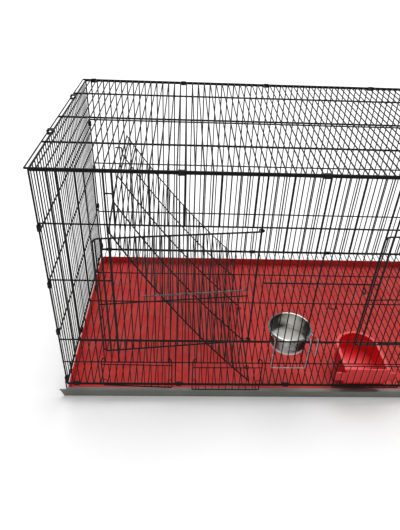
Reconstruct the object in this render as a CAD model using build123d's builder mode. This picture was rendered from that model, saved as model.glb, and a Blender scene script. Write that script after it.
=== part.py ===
"""Two-compartment welded-wire cage with a slide-out tray, two doors, feed flaps and a leaning divider."""
from build123d import *
import math
import os

os.makedirs("parts", exist_ok=True)

# Overall sizes, in millimetres; X runs along the cage, the front faces -Y, Z is up from the ground
compartment_length = 544.0
cage_depth = 576.0
cage_height = 544.0
leg_height = 40.0

# Wire mesh
wire_pitch = 16.0
wire_width = 2.2
bar_width = 2.8
rail_width = 4.0
panel_thickness = 2.4
roof_overhang = 7.0
least_gap = 0.5

# Heights of the horizontal bars above the floor panel, and distances of the roof and floor bars
# from the front
flap_bar_height = 74.0
sill_bar_height = 144.0
middle_bar_height = 307.0
lintel_bar_height = 437.0
side_bar_heights = (157.0, 301.0, 418.0)
roof_bar_distances = (125.0, 272.0, 448.0)
floor_bar_distances = (148.0, 310.0, 448.0)

# Doorways, measured from the left end of each compartment
jamb_offset = 128.0
hinge_offset = 416.0
post_clear_bay = 16.0
post_radius = 2.0

# Doors
door_width = 313.0
door_bottom_height = 150.0
door_top_height = 430.0
door_middle_height = 278.0
door_rod_radius = 2.0
door_corner_radius = 6.0
door_wire_thickness = 2.2
left_door_ajar_angle = 6.5
right_door_ajar_angle = 2.0
eye_clearance = 0.3
eye_wrap_angle = 250.0

# Sliding latch bolts, their guide rings on the door and their keepers on the front mesh
bolt_height = 295.0
bolt_radius = 1.6
bolt_tip_reach = 226.0
bolt_tail_reach = 20.0
bolt_handle_rise = 9.0
bolt_bend_radius = 4.0
guide_reaches = (140.0, 215.0)
guide_wire_radius = 1.25
bolt_clearance = 0.3
keeper_offset = 96.0
keeper_half_height = 4.5
keeper_depth = 13.0
keeper_bend_radius = 2.5

# Small wire hook on the middle field of the front, across one mesh
front_hook_offset = 32.0
front_hook_height = 253.0
front_hook_reach = 10.0
front_hook_drop = 3.0

# Feed flaps below the flap bar
flap_width = 160.0
flap_spacing = 208.0
flap_top_height = 62.0
flap_bottom_height = -13.0
flap_rod_radius = 1.25
flap_corner_radius = 4.0

# Crimped band clips that tie the panels together
clip_sheet = 1.6
clip_length = 12.0
clip_clearance = 0.2
clip_bend_radius = 0.5
front_top_clip_offsets = (264.0, 520.0, 792.0, 1056.0)
back_top_clip_offsets = (24.0, 264.0, 488.0, 776.0, 1016.0)
front_bottom_clip_offsets = (24.0, 264.0, 520.0, 808.0, 1064.0)
back_bottom_clip_offsets = (24.0, 264.0, 504.0, 760.0, 1016.0)
side_clip_distances = (185.0, 423.0)
corner_clip_heights = (16.0, 165.0, 293.0, 426.0)

# Leaning divider
divider_offset = 432.0
divider_length = 512.0
divider_width = 556.0
divider_lean_angle = 51.2
divider_bow = 14.0
divider_rod_radius = 2.0
divider_rib_width = 3.2
divider_rib_count = 5
divider_floor_gap = 0.3
hook_rise = 18.0
hook_reach = 15.0
hook_radius = 1.5
hook_bend_radius = 4.0
foot_ring_distances = (56.0, 280.0, 520.0)
foot_ring_wire_radius = 1.1
foot_ring_clearance = 0.4

# Wire legs, standing against the outside of the side panels
leg_radius = 1.5
leg_rise = 7.0
leg_span = 60.0
leg_bend_radius = 8.0
leg_flat = 0.5

# Slide-out tray and its liner
tray_wall_height = 23.0
tray_sheet = 1.0
tray_depth = 557.0
tray_side_clearance = 0.5
tray_lip_overhang = 18.0
tray_lip_taper = 8.0
tray_stop_clearance = 0.3
tray_hem_width = 3.0
tray_flange_width = 6.0
liner_sheet = 1.6
liner_clearance = 0.3
liner_corner_radius = 12.0

# Feeding bowl and its wire holder
bowl_offset = 522.5
bowl_setback = 61.0
bowl_rim_height = 134.0
bowl_rim_radius = 50.2
bowl_neck_radius = 48.2
bowl_foot_radius = 42.0
bowl_height = 53.0
bowl_sheet = 1.0
bowl_rim_drop = 2.5
bowl_foot_round = 9.0
holder_wire_radius = 1.5
holder_clearance = 0.3
holder_left_reach = 46.5
holder_right_reach = 33.5
holder_arm_run = 9.0
holder_inside_gap = 3.2
holder_front_gap = 1.0
holder_bar_gap = 0.8
holder_bottom_height = 64.0
holder_hook_height = 106.0
holder_hook_angle = 20.0
holder_hook_run = 30.0
holder_bend_radius = 4.0

# Moulded feeder cup standing inside the front mesh
feeder_offset = 709.0
feeder_width = 99.0
feeder_depth = 128.0
feeder_height = 52.0
feeder_wall = 2.5
feeder_rim = 4.0
feeder_rim_thickness = 3.0
feeder_plate_width = 146.0
feeder_plate_height = 26.0
feeder_plate_rise = 15.0
feeder_plate_gap = 0.8
feeder_floor_gap = 0.3

# Places worked out from the sizes above
left_end = -compartment_length
right_end = compartment_length
front_face = -cage_depth / 2
back_face = cage_depth / 2
floor_top = leg_height
roof_bottom = leg_height + cage_height
mesh_axis_y = front_face + panel_thickness / 2
compartments = {"left": left_end, "right": left_end + compartment_length}

front_plane = Plane((0, front_face + panel_thickness, floor_top), x_dir=(1, 0, 0), z_dir=(0, -1, 0))
back_plane = Plane((0, back_face, floor_top), x_dir=(1, 0, 0), z_dir=(0, -1, 0))
left_plane = Plane((left_end, 0, floor_top), x_dir=(0, 1, 0), z_dir=(1, 0, 0))
right_plane = Plane((right_end - panel_thickness, 0, floor_top), x_dir=(0, 1, 0), z_dir=(1, 0, 0))
roof_plane = Plane.XY.offset(roof_bottom)
floor_plane = Plane.XY.offset(floor_top - panel_thickness)


def save(part, label):
    """Label a finished piece and write it as its own file."""
    part.label = label
    export_step(part, f"parts/{label}.step")


def grid(start, end):
    """Wire positions from start to end, evenly spaced about one pitch apart."""
    bays = max(1, round((end - start) / wire_pitch))
    return [start + (end - start) * i / bays for i in range(bays + 1)]


def wires(positions, width=wire_width):
    """Pair each wire position with the wire's width."""
    return [(position, width) for position in positions]


def framed(low, high, inner):
    """Wires between two rails whose outer edges are flush with low and high."""
    rails = [(low + rail_width / 2, rail_width), (high - rail_width / 2, rail_width)]
    kept = [wire for wire in inner if low + rail_width < wire[0] < high - rail_width]
    return [rails[0]] + kept + [rails[1]]


def gaps(members, low, high):
    """Middle and width of each clear gap between members that lie between low and high."""
    edges = [low]
    for position, width in members:
        edges += [position - width / 2, position + width / 2]
    edges.append(high)
    return [((a + b) / 2, b - a) for a, b in zip(edges[::2], edges[1::2]) if b - a > least_gap]


def cut_gaps(uprights, bars, u_range, v_range):
    """Open every clear gap between the uprights and the bars of a panel's sketch."""
    columns = gaps(uprights, *u_range)
    for v, height in gaps(bars, *v_range):
        for width in sorted({round(column[1], 4) for column in columns}):
            with Locations([(u, v) for u, w in columns if round(w, 4) == width]):
                Rectangle(width, height, mode=Mode.SUBTRACT)


def mesh_panel(label, plane, uprights, bars, u_range, v_range):
    """Make one flat welded panel from its uprights and bars, and save it."""
    with BuildPart() as panel:
        with BuildSketch(plane):
            with Locations(((u_range[0] + u_range[1]) / 2, (v_range[0] + v_range[1]) / 2)):
                Rectangle(u_range[1] - u_range[0], v_range[1] - v_range[0])
            cut_gaps(uprights, bars, u_range, v_range)
        extrude(amount=panel_thickness)
    save(panel.part, label)


def bent_wire(points, wire_radius, bend_radius):
    """Sweep a round wire along straight runs with equal bends into the part being built."""
    with BuildLine() as path:
        FilletPolyline(*points, radius=bend_radius)
    with BuildSketch(Plane(path.line @ 0, z_dir=path.line % 0)) as section:
        Circle(wire_radius)
    sweep(section.sketch, path=path.line)


# Flat panels: back, roof, floor and the two sides
full_length = (left_end, right_end)
full_height = (0, cage_height)
full_depth = (front_face, back_face)
between_faces = (front_face + panel_thickness, back_face - panel_thickness)
length_wires = framed(*full_length, wires(grid(*full_length)))
wall_bars = framed(*full_height, wires((sill_bar_height, middle_bar_height, lintel_bar_height), bar_width))
side_bars = framed(*full_height, wires(side_bar_heights, bar_width))
side_wires = framed(*between_faces, wires(grid(*between_faces)))
roof_length = (left_end - roof_overhang, right_end + roof_overhang)
roof_wires = framed(*roof_length, wires(grid(*full_length)[1:-1]))
roof_bars = framed(*full_depth, wires([front_face + d for d in roof_bar_distances], bar_width))
floor_bars = framed(*full_depth, wires([front_face + d for d in floor_bar_distances], bar_width))
mesh_panel("back_panel", back_plane, length_wires, wall_bars, full_length, full_height)
mesh_panel("top_panel", roof_plane, roof_wires, roof_bars, roof_length, full_depth)
mesh_panel("floor_panel", floor_plane, length_wires, floor_bars, full_length, full_depth)
mesh_panel("left_side_panel", left_plane, side_wires, side_bars, between_faces, full_height)
mesh_panel("right_side_panel", right_plane, side_wires, side_bars, between_faces, full_height)

# Front wall: an upper field, three fields beside the doorways, a sill under each doorway, and below them
# the flap bar, the bottom rail and the short wires between the flap openings
lintel_bar = (lintel_bar_height, bar_width)
sill_bar = (sill_bar_height, bar_width)
middle_bar = (middle_bar_height, bar_width)
upper_range = (lintel_bar_height - bar_width / 2, cage_height)
field_range = (flap_bar_height + bar_width / 2, lintel_bar_height - bar_width / 2)
sill_range = (flap_bar_height + bar_width / 2, sill_bar_height + bar_width / 2)
doorway_end_offset = hinge_offset + post_clear_bay
top_rail = (cage_height - rail_width / 2, rail_width)
bottom_rail = (rail_width / 2, rail_width)
mesh_panel("front_upper_mesh", front_plane, length_wires, [lintel_bar, top_rail], full_length, upper_range)

left_jamb = left_end + jamb_offset
right_jamb = jamb_offset
left_field_end = left_end + doorway_end_offset
right_field_end = doorway_end_offset
jamb_edge = rail_width / 2
field_edge = wire_width / 2


def field(label, start, end, rail_positions):
    """Make one field of the front wall, with rails where posts stand and thin wires elsewhere."""
    members = []
    for position in grid(start, end):
        near_rail = [r for r in rail_positions if abs(position - r) < wire_pitch / 2]
        members.append((near_rail[0], rail_width) if near_rail else (position, wire_width))
    span = (members[0][0] - members[0][1] / 2, members[-1][0] + members[-1][1] / 2)
    mesh_panel(label, front_plane, members, [sill_bar, middle_bar], span, field_range)


corner_left = left_end + rail_width / 2
corner_right = right_end - rail_width / 2
field("front_left_mesh", left_end, left_jamb, (corner_left, left_jamb))
field("front_middle_mesh", left_field_end, right_jamb, (0.0, right_jamb))
field("front_right_mesh", right_field_end, right_end, (corner_right,))

for side, start in compartments.items():
    sill_span = (start + jamb_offset + jamb_edge, start + doorway_end_offset - field_edge)
    sill_wires = wires(grid(start + jamb_offset, start + doorway_end_offset)[1:-1])
    mesh_panel(f"{side}_sill_mesh", front_plane, sill_wires, [sill_bar], sill_span, sill_range)

flap_middles = [
    start + compartment_length / 2 + shift
    for start in compartments.values()
    for shift in (-flap_spacing / 2, flap_spacing / 2)
]
foot_wires = [
    wire for wire in length_wires if all(abs(wire[0] - middle) > flap_width / 2 for middle in flap_middles)
]
foot_bottom = rail_width
foot_top = flap_bar_height - bar_width / 2
with BuildPart() as foot:
    with BuildSketch(front_plane):
        for x, width in foot_wires:
            with Locations((x, (foot_bottom + foot_top) / 2)):
                Rectangle(width, foot_top - foot_bottom)
    extrude(amount=panel_thickness)
save(foot.part, "front_foot_wires")

with BuildPart() as long_rail:
    with BuildSketch(front_plane):
        with Locations((0, bottom_rail[0])):
            Rectangle(2 * compartment_length, rail_width)
    extrude(amount=panel_thickness)
save(long_rail.part, "front_bottom_rail")

# Flap bar: a round rod that the flaps' eyes turn on
flap_bar_radius = bar_width / 2
flap_axis_z = floor_top + flap_bar_height
with BuildPart() as long_bar:
    with BuildSketch(Plane((left_end, mesh_axis_y, flap_axis_z), x_dir=(0, 1, 0), z_dir=(1, 0, 0))):
        Circle(flap_bar_radius)
    extrude(amount=2 * compartment_length)
save(long_bar.part, "front_flap_bar")

# Hinge posts: round rods between the sill bar and the lintel bar
post_bottom = floor_top + sill_bar_height + bar_width / 2
post_top = floor_top + lintel_bar_height - bar_width / 2
for side, start in compartments.items():
    with BuildPart() as hinge_post:
        with BuildSketch(Plane((start + hinge_offset, mesh_axis_y, post_bottom))):
            Circle(post_radius)
        extrude(amount=post_top - post_bottom)
    save(hinge_post.part, f"{side}_hinge_post")

# Doors: one bent rod whose two ends wrap the post as hinge eyes, mesh wires, a middle bar and bolt guides
eye_radius = post_radius + eye_clearance + door_rod_radius
bolt_standoff = door_rod_radius + bolt_clearance + bolt_radius
guide_radius = bolt_radius + bolt_clearance + guide_wire_radius
ajar_angles = {"left": left_door_ajar_angle, "right": right_door_ajar_angle}


def door_plane(start, ajar_angle):
    """Plane of a door left ajar: x from hinge to free edge, y up, z into the cage."""
    ajar = math.radians(ajar_angle)
    return Plane(
        (start + hinge_offset, mesh_axis_y, floor_top),
        x_dir=(-math.cos(ajar), -math.sin(ajar), 0),
        z_dir=(-math.sin(ajar), math.cos(ajar), 0),
    )


def eye_point(plane, height, angle):
    """Point on a hinge eye, turned by an angle past the place where the rod leaves it."""
    turn = math.radians(angle)
    return plane.from_local_coords((-eye_radius * math.sin(turn), height, -eye_radius * math.cos(turn)))


def door_corner(plane, height, inward):
    """Start, middle and end of the rounded corner between a bar and the free edge."""
    drop = door_corner_radius * (1 - math.sqrt(0.5))
    spots = (
        (door_width - door_corner_radius, height),
        (door_width - drop, height + inward * drop),
        (door_width, height + inward * door_corner_radius),
    )
    return [plane.from_local_coords((u, v, -eye_radius)) for u, v in spots]


for side, start in compartments.items():
    plane = door_plane(start, ajar_angles[side])
    top_corner = door_corner(plane, door_top_height, -1)
    low_corner = door_corner(plane, door_bottom_height, 1)
    with BuildPart() as door:
        with BuildLine() as rod_path:
            half_wrap = eye_wrap_angle / 2
            ThreePointArc(
                eye_point(plane, door_top_height, eye_wrap_angle),
                eye_point(plane, door_top_height, half_wrap),
                eye_point(plane, door_top_height, 0),
            )
            Line(rod_path.line @ 1, top_corner[0])
            ThreePointArc(*top_corner)
            Line(top_corner[2], low_corner[2])
            ThreePointArc(*reversed(low_corner))
            Line(low_corner[0], eye_point(plane, door_bottom_height, 0))
            ThreePointArc(
                eye_point(plane, door_bottom_height, 0),
                eye_point(plane, door_bottom_height, half_wrap),
                eye_point(plane, door_bottom_height, eye_wrap_angle),
            )
        with BuildSketch(Plane(rod_path.line @ 0, z_dir=rod_path.line % 0)):
            Circle(door_rod_radius)
        sweep(path=rod_path.line)
        door_wires = wires(grid(0, door_width)[1:-1])
        mesh_start = door_wires[0][0] - wire_width / 2
        with BuildSketch(plane.offset(-eye_radius - door_wire_thickness / 2)):
            with Locations(((mesh_start + door_width) / 2, (door_bottom_height + door_top_height) / 2)):
                Rectangle(door_width - mesh_start, door_top_height - door_bottom_height)
            cut_gaps(
                door_wires,
                [(door_middle_height, bar_width)],
                (mesh_start, door_width),
                (door_bottom_height, door_top_height),
            )
        extrude(amount=door_wire_thickness)
        guide_spots = [min(door_wires, key=lambda wire: abs(wire[0] - reach))[0] for reach in guide_reaches]
        guides = [
            Plane(
                plane.from_local_coords((reach, bolt_height, -eye_radius - bolt_standoff)),
                x_dir=plane.z_dir,
                z_dir=plane.x_dir,
            )
            for reach in guide_spots
        ]
        with Locations(*guides):
            Torus(guide_radius, guide_wire_radius)
    save(door.part, f"{side}_door")

    bolt_points = [
        plane.from_local_coords((u, v, -eye_radius - bolt_standoff))
        for u, v in (
            (bolt_tip_reach, bolt_height),
            (bolt_tail_reach, bolt_height),
            (bolt_tail_reach, bolt_height + bolt_handle_rise),
        )
    ]
    with BuildPart() as bolt:
        bent_wire(bolt_points, bolt_radius, bolt_bend_radius)
    save(bolt.part, f"{side}_latch_bolt")

# Keepers: wire staples that the bolts slide into when the doors are shut
with BuildPart() as keepers:
    for start in compartments.values():
        field_wires = grid(start, start + jamb_offset)
        keeper_x = min(field_wires, key=lambda x: abs(x - start - keeper_offset))
        upper = floor_top + bolt_height + keeper_half_height
        lower = floor_top + bolt_height - keeper_half_height
        staple = [(keeper_x, front_face, upper), (keeper_x, front_face - keeper_depth, upper)]
        staple += [(keeper_x, front_face - keeper_depth, lower), (keeper_x, front_face, lower)]
        bent_wire(staple, guide_wire_radius, keeper_bend_radius)
save(keepers.part, "latch_keepers")

# Front hook: a short wire staple that stands out from two neighbouring wires of the middle field
hook_near = front_hook_offset
hook_far = front_hook_offset + wire_pitch
hook_root_z = floor_top + front_hook_height
hook_tip_z = hook_root_z - front_hook_drop
hook_tip_y = front_face - front_hook_reach
front_hook_path = [(hook_near, front_face, hook_root_z), (hook_near, hook_tip_y, hook_tip_z)]
front_hook_path += [(hook_far, hook_tip_y, hook_tip_z), (hook_far, front_face, hook_root_z)]
with BuildPart() as front_hook:
    bent_wire(front_hook_path, guide_wire_radius, keeper_bend_radius)
    split(bisect_by=Plane((0, front_face, 0), z_dir=(0, -1, 0)), keep=Keep.TOP)
save(front_hook.part, "front_hook")

# Feed flaps: a bent wire that hangs from the flap bar by two eyes, with a top bar and mesh wires
flap_eye_radius = flap_bar_radius + eye_clearance + flap_rod_radius
flap_names = ("left_outer_flap", "left_inner_flap", "right_inner_flap", "right_outer_flap")


def flap_eye(x, angle):
    """Point on a flap's eye, turned by an angle past the place where the side wire meets it."""
    turn = math.radians(angle)
    y = mesh_axis_y - flap_eye_radius * math.cos(turn)
    return (x, y, flap_axis_z + flap_eye_radius * math.sin(turn))


flap_y = mesh_axis_y - flap_eye_radius
for label, middle in zip(flap_names, flap_middles):
    ends = (middle - flap_width / 2, middle + flap_width / 2)
    low_z = floor_top + flap_bottom_height
    with BuildPart() as flap:
        with BuildLine() as flap_path:
            FilletPolyline(
                flap_eye(ends[0], 0),
                (ends[0], flap_y, low_z),
                (ends[1], flap_y, low_z),
                flap_eye(ends[1], 0),
                radius=flap_corner_radius,
            )
            for end in ends:
                ThreePointArc(*[flap_eye(end, eye_wrap_angle * share) for share in (0, 0.5, 1)])
        wire_start = flap_path.wires()[0]
        with BuildSketch(Plane(wire_start @ 0, z_dir=wire_start % 0)):
            Circle(flap_rod_radius)
        sweep(path=wire_start)
        flap_wires = wires(grid(*ends)[1:-1])
        mesh_origin = (0, flap_y + door_wire_thickness / 2, floor_top)
        with BuildSketch(Plane(mesh_origin, x_dir=(1, 0, 0), z_dir=(0, -1, 0))):
            mesh_top = flap_top_height + bar_width / 2
            with Locations((middle, (mesh_top + flap_bottom_height) / 2)):
                Rectangle(flap_width, mesh_top - flap_bottom_height)
            cut_gaps(flap_wires, [(flap_top_height, bar_width)], ends, (flap_bottom_height, mesh_top))
        extrude(amount=door_wire_thickness)
    save(flap.part, label)

# Band clips: closed bands crimped round the two rails that meet along each edge of the box
pair_depth = rail_width + panel_thickness
pair_shift = (rail_width - panel_thickness) / 2


def bay_middle(positions, near):
    """Middle of the bay between two neighbouring wires that lies nearest to a place."""
    middles = [(a + b) / 2 for a, b in zip(positions, positions[1:])]
    return min(middles, key=lambda middle: abs(middle - near))


def clip_group(label, planes, width, height):
    """Make a group of equal bands on planes across the rails, round rails that fill width by height."""
    inner = (width + 2 * clip_clearance, height + 2 * clip_clearance)
    outer = (inner[0] + 2 * clip_sheet, inner[1] + 2 * clip_sheet)
    with BuildPart() as clips:
        with BuildSketch(*planes):
            RectangleRounded(*outer, clip_bend_radius + clip_sheet)
            RectangleRounded(*inner, clip_bend_radius, mode=Mode.SUBTRACT)
        extrude(amount=clip_length / 2, both=True)
    save(clips.part, label)


def across_x(x, y, z):
    """Plane across a rail that runs along X, with its own x along Y."""
    return Plane((x, y, z), x_dir=(0, 1, 0), z_dir=(1, 0, 0))


def across_y(x, y, z):
    """Plane across a rail that runs along Y, with its own x along X."""
    return Plane((x, y, z), x_dir=(1, 0, 0), z_dir=(0, -1, 0))


clip_ys = [bay_middle(grid(*between_faces), front_face + distance) for distance in side_clip_distances]
roof_clip_z = roof_bottom - pair_shift
floor_clip_z = floor_top + pair_shift
front_clip_y = front_face + rail_width / 2
back_clip_y = back_face - rail_width / 2
edge_pair = (rail_width, pair_depth)
clip_rows = (
    ("front_top_clips", front_top_clip_offsets, front_clip_y, roof_clip_z),
    ("back_top_clips", back_top_clip_offsets, back_clip_y, roof_clip_z),
    ("front_bottom_clips", front_bottom_clip_offsets, front_clip_y, floor_clip_z),
    ("back_bottom_clips", back_bottom_clip_offsets, back_clip_y, floor_clip_z),
)
for label, offsets, row_y, row_z in clip_rows:
    clip_xs = [bay_middle(grid(*full_length), left_end + offset) for offset in offsets]
    clip_group(label, [across_x(x, row_y, row_z) for x in clip_xs], *edge_pair)
eave_width = roof_overhang + panel_thickness
eave_x = compartment_length + roof_overhang - eave_width / 2
eaves = [across_y(x, y, roof_clip_z) for x in (-eave_x, eave_x) for y in clip_ys]
clip_group("side_top_clips", eaves, eave_width, pair_depth)
side_xs = (left_end + rail_width / 2, right_end - rail_width / 2)
skirts = [across_y(x, y, floor_clip_z) for x in side_xs for y in clip_ys]
clip_group("side_bottom_clips", skirts, *edge_pair)
corner_zs = [floor_top + height for height in corner_clip_heights]
corner_shift = panel_thickness + pair_shift
front_corners = [Plane((x, front_face + corner_shift, z)) for x in side_xs for z in corner_zs]
back_corners = [Plane((x, back_face - corner_shift, z)) for x in side_xs for z in corner_zs]
clip_group("front_corner_clips", front_corners, *edge_pair)
clip_group("back_corner_clips", back_corners, *edge_pair)

# Divider: a bowed welded panel that leans on its foot rod, with two hooks on its top rod
lean = math.radians(divider_lean_angle)
floor_wires = grid(*full_length)
divider_x = min(floor_wires, key=lambda x: abs(x - left_end - divider_offset))
divider_z = floor_top + divider_floor_gap + divider_rod_radius
divider_plane = Plane(
    (divider_x, 0, divider_z),
    x_dir=(-math.cos(lean), 0, math.sin(lean)),
    z_dir=(0, 1, 0),
)
bow_radius = (divider_length**2 / 4 + divider_bow**2) / (2 * divider_bow)
half_sweep = math.asin(divider_length / 2 / bow_radius)


def bow_point(share, lift=0.0):
    """Point on the divider's curve at a share of its length, lifted off the curve."""
    turn = half_sweep * (2 * share - 1)
    reach = bow_radius - lift
    return (divider_length / 2 + reach * math.sin(turn), bow_radius - divider_bow - reach * math.cos(turn))


rib_ys = [divider_width * (i / (divider_rib_count - 1) - 0.5) for i in range(divider_rib_count)]
rib_half = divider_rib_width / 2
rib_limit = divider_width / 2 - rib_half
rib_lines = wires([max(min(y, rib_limit), -rib_limit) for y in rib_ys], divider_rib_width)
rib_gaps = gaps(rib_lines, -divider_width / 2, divider_width / 2)
row_count = round(divider_length / wire_pitch)
row_angle = 2 * half_sweep / row_count
row_gap = bow_radius * row_angle - wire_width
half_sheet = panel_thickness / 2
with BuildPart() as divider:
    with BuildSketch(divider_plane.offset(-divider_width / 2)):
        with BuildLine():
            ThreePointArc(bow_point(0, -half_sheet), bow_point(0.5, -half_sheet), bow_point(1, -half_sheet))
            Line(bow_point(1, -half_sheet), bow_point(1, half_sheet))
            ThreePointArc(bow_point(1, half_sheet), bow_point(0.5, half_sheet), bow_point(0, half_sheet))
            Line(bow_point(0, half_sheet), bow_point(0, -half_sheet))
        make_face()
    extrude(amount=divider_width)
    for y, depth in rib_gaps:
        windows = []
        for row in range(row_count):
            share = (row + 0.5) / row_count
            turn = half_sweep * (2 * share - 1)
            u, v = bow_point(share)
            tangent = divider_plane.x_dir * math.cos(turn) + divider_plane.y_dir * math.sin(turn)
            middle = divider_plane.from_local_coords((u, v, y))
            windows.append(Plane(middle, x_dir=tangent, z_dir=(0, 1, 0)))
        with Locations(*windows):
            Box(row_gap, rail_width * 2, depth, mode=Mode.SUBTRACT)
    for share in (0, 1):
        with BuildSketch(divider_plane.offset(-divider_width / 2)):
            with Locations(bow_point(share)):
                Circle(divider_rod_radius)
        extrude(amount=divider_width)
    top_rod = divider_plane.from_local_coords((divider_length, 0, 0))
    hook_z = top_rod.Z + hook_rise
    for y in (rib_ys[1], rib_ys[-2]):
        hook = [(top_rod.X, y, top_rod.Z), (top_rod.X, y, hook_z), (top_rod.X - hook_reach, y, hook_z)]
        bent_wire(hook, hook_radius, hook_bend_radius)
save(divider.part, "divider_panel")

# Foot rings: they hold the divider's foot rod down on one wire of the floor panel
foot_stack = panel_thickness + divider_floor_gap + 2 * divider_rod_radius
foot_ring_radius = foot_stack / 2 + foot_ring_clearance + foot_ring_wire_radius
with BuildPart() as foot_rings:
    foot_ring_z = floor_top - panel_thickness + foot_stack / 2
    places = [(divider_x, front_face + distance, foot_ring_z) for distance in foot_ring_distances]
    with Locations(*[Plane(place, z_dir=(0, 1, 0)) for place in places]):
        Torus(foot_ring_radius, foot_ring_wire_radius)
save(foot_rings.part, "divider_foot_rings")

# Legs: bent wire loops at the four corners, with a narrow flat where they stand
leg_top = floor_top + leg_rise
leg_bottom = leg_radius - leg_flat
with BuildPart() as legs:
    for x in (left_end - leg_radius, right_end + leg_radius):
        for face, inward in ((front_face, 1), (back_face, -1)):
            near = face + inward * leg_radius
            far = near + inward * leg_span
            loop = [(x, near, leg_top), (x, near, leg_bottom), (x, far, leg_bottom), (x, far, leg_top)]
            bent_wire(loop, leg_radius, leg_bend_radius)
    split(bisect_by=Plane.XY, keep=Keep.TOP)
save(legs.part, "leg_loops")

# Tray: a folded sheet pan with a wider front lip, and a red liner whose rim covers its side and back walls
pan_half = compartment_length - tray_side_clearance
lip_back = front_face - tray_stop_clearance
pan_front = lip_back - tray_sheet
pan_back = pan_front + tray_depth
pan_middle = (pan_front + pan_back) / 2
lip_top_half = compartment_length + tray_lip_overhang
lip_bottom_half = lip_top_half - tray_lip_taper
with BuildPart() as pan:
    with BuildSketch():
        with Locations((0, pan_middle)):
            Rectangle(2 * pan_half, tray_depth)
    extrude(amount=tray_wall_height)
    with BuildSketch(Plane.XY.offset(tray_sheet)):
        with Locations((0, pan_middle)):
            Rectangle(2 * (pan_half - tray_sheet), tray_depth - 2 * tray_sheet)
    extrude(amount=tray_wall_height, mode=Mode.SUBTRACT)
    with BuildSketch(Plane((0, lip_back, 0), x_dir=(1, 0, 0), z_dir=(0, -1, 0))):
        with BuildLine():
            Polyline(
                (-lip_bottom_half, 0),
                (lip_bottom_half, 0),
                (lip_top_half, tray_wall_height),
                (-lip_top_half, tray_wall_height),
                close=True,
            )
        make_face()
    extrude(amount=tray_sheet)
    with BuildSketch(Plane.XY.offset(tray_wall_height - tray_sheet)):
        with Locations((0, pan_front - tray_hem_width / 2)):
            Rectangle(2 * lip_top_half, tray_hem_width)
        with Locations((0, lip_back + tray_flange_width / 2)):
            Rectangle(2 * pan_half, tray_flange_width)
    extrude(amount=tray_sheet)
save(pan.part, "tray_pan")

liner_half = pan_half - tray_sheet - liner_clearance
liner_depth = tray_depth - 2 * tray_sheet - 2 * liner_clearance
liner_front_top = tray_wall_height - tray_sheet - liner_clearance
flange_back = lip_back + tray_flange_width + liner_clearance
with BuildPart() as liner:
    with BuildSketch(Plane.XY.offset(tray_sheet)):
        with Locations((0, pan_middle)):
            RectangleRounded(2 * liner_half, liner_depth, liner_corner_radius)
    extrude(amount=tray_wall_height - tray_sheet)
    with BuildSketch(Plane.XY.offset(tray_wall_height)):
        with Locations((0, pan_middle)):
            RectangleRounded(2 * pan_half, tray_depth, liner_corner_radius)
    extrude(amount=liner_sheet)
    with BuildSketch(Plane.XY.offset(tray_sheet + liner_sheet)):
        with Locations((0, pan_middle)):
            RectangleRounded(
                2 * (liner_half - liner_sheet),
                liner_depth - 2 * liner_sheet,
                liner_corner_radius - liner_sheet,
            )
    extrude(amount=tray_wall_height, mode=Mode.SUBTRACT)
    with BuildSketch(Plane.XY.offset(liner_front_top)):
        with Locations((0, (pan_front + flange_back) / 2)):
            Rectangle(2 * pan_half, flange_back - pan_front)
    extrude(amount=tray_wall_height, mode=Mode.SUBTRACT)
save(liner.part, "tray_liner")

# Bowl: a pressed steel cup with a turned-down rim
bowl_x = left_end + bowl_offset
bowl_y = front_face + bowl_setback
bowl_top = floor_top + bowl_rim_height
bowl_base = bowl_top - bowl_height
with BuildPart() as bowl:
    with BuildSketch(Plane((bowl_x, bowl_y, 0), x_dir=(1, 0, 0), z_dir=(0, -1, 0))) as profile:
        with BuildLine():
            Polyline(
                (0, bowl_base),
                (bowl_foot_radius, bowl_base),
                (bowl_neck_radius, bowl_top - bowl_sheet),
                (bowl_rim_radius - bowl_sheet, bowl_top - bowl_sheet),
                (bowl_rim_radius - bowl_sheet, bowl_top - bowl_rim_drop),
                (bowl_rim_radius, bowl_top - bowl_rim_drop),
                (bowl_rim_radius, bowl_top),
                (bowl_neck_radius - bowl_sheet, bowl_top),
                (bowl_foot_radius - bowl_sheet, bowl_base + bowl_sheet),
                (0, bowl_base + bowl_sheet),
                close=True,
            )
        make_face()
        foot_corner = profile.vertices().group_by(Axis.Y)[0].sort_by(Axis.X)[-1]
        floor_corner = profile.vertices().group_by(Axis.Y)[1].sort_by(Axis.X)[-1]
        fillet(foot_corner, bowl_foot_round)
        fillet(floor_corner, bowl_foot_round - bowl_sheet)
    revolve(axis=Axis((bowl_x, bowl_y, 0), (0, 0, 1)))
save(bowl.part, "bowl")

# Bowl holder: a ring under the rim, a bent wire that hooks over the sill bar, and a side hook
ring_radius = bowl_neck_radius + holder_clearance + holder_wire_radius
ring_z = bowl_top - bowl_rim_drop - holder_clearance - holder_wire_radius
hang_z = floor_top + sill_bar_height + bar_width / 2 + holder_bar_gap + holder_wire_radius
out_y = front_face - holder_front_gap - holder_wire_radius
inside_y = front_face + panel_thickness + holder_inside_gap + holder_wire_radius
drop_z = floor_top + holder_bottom_height


def holder_side(shift):
    """Points of one side of the hanging wire, from the ring over the sill bar and down in front."""
    arm_y = bowl_y - math.sqrt(ring_radius**2 - shift**2)
    x = bowl_x + shift
    return [
        (x, arm_y, ring_z),
        (x, arm_y - holder_arm_run, ring_z),
        (x, inside_y, hang_z),
        (x, out_y, hang_z),
        (x, out_y, drop_z),
    ]


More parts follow.
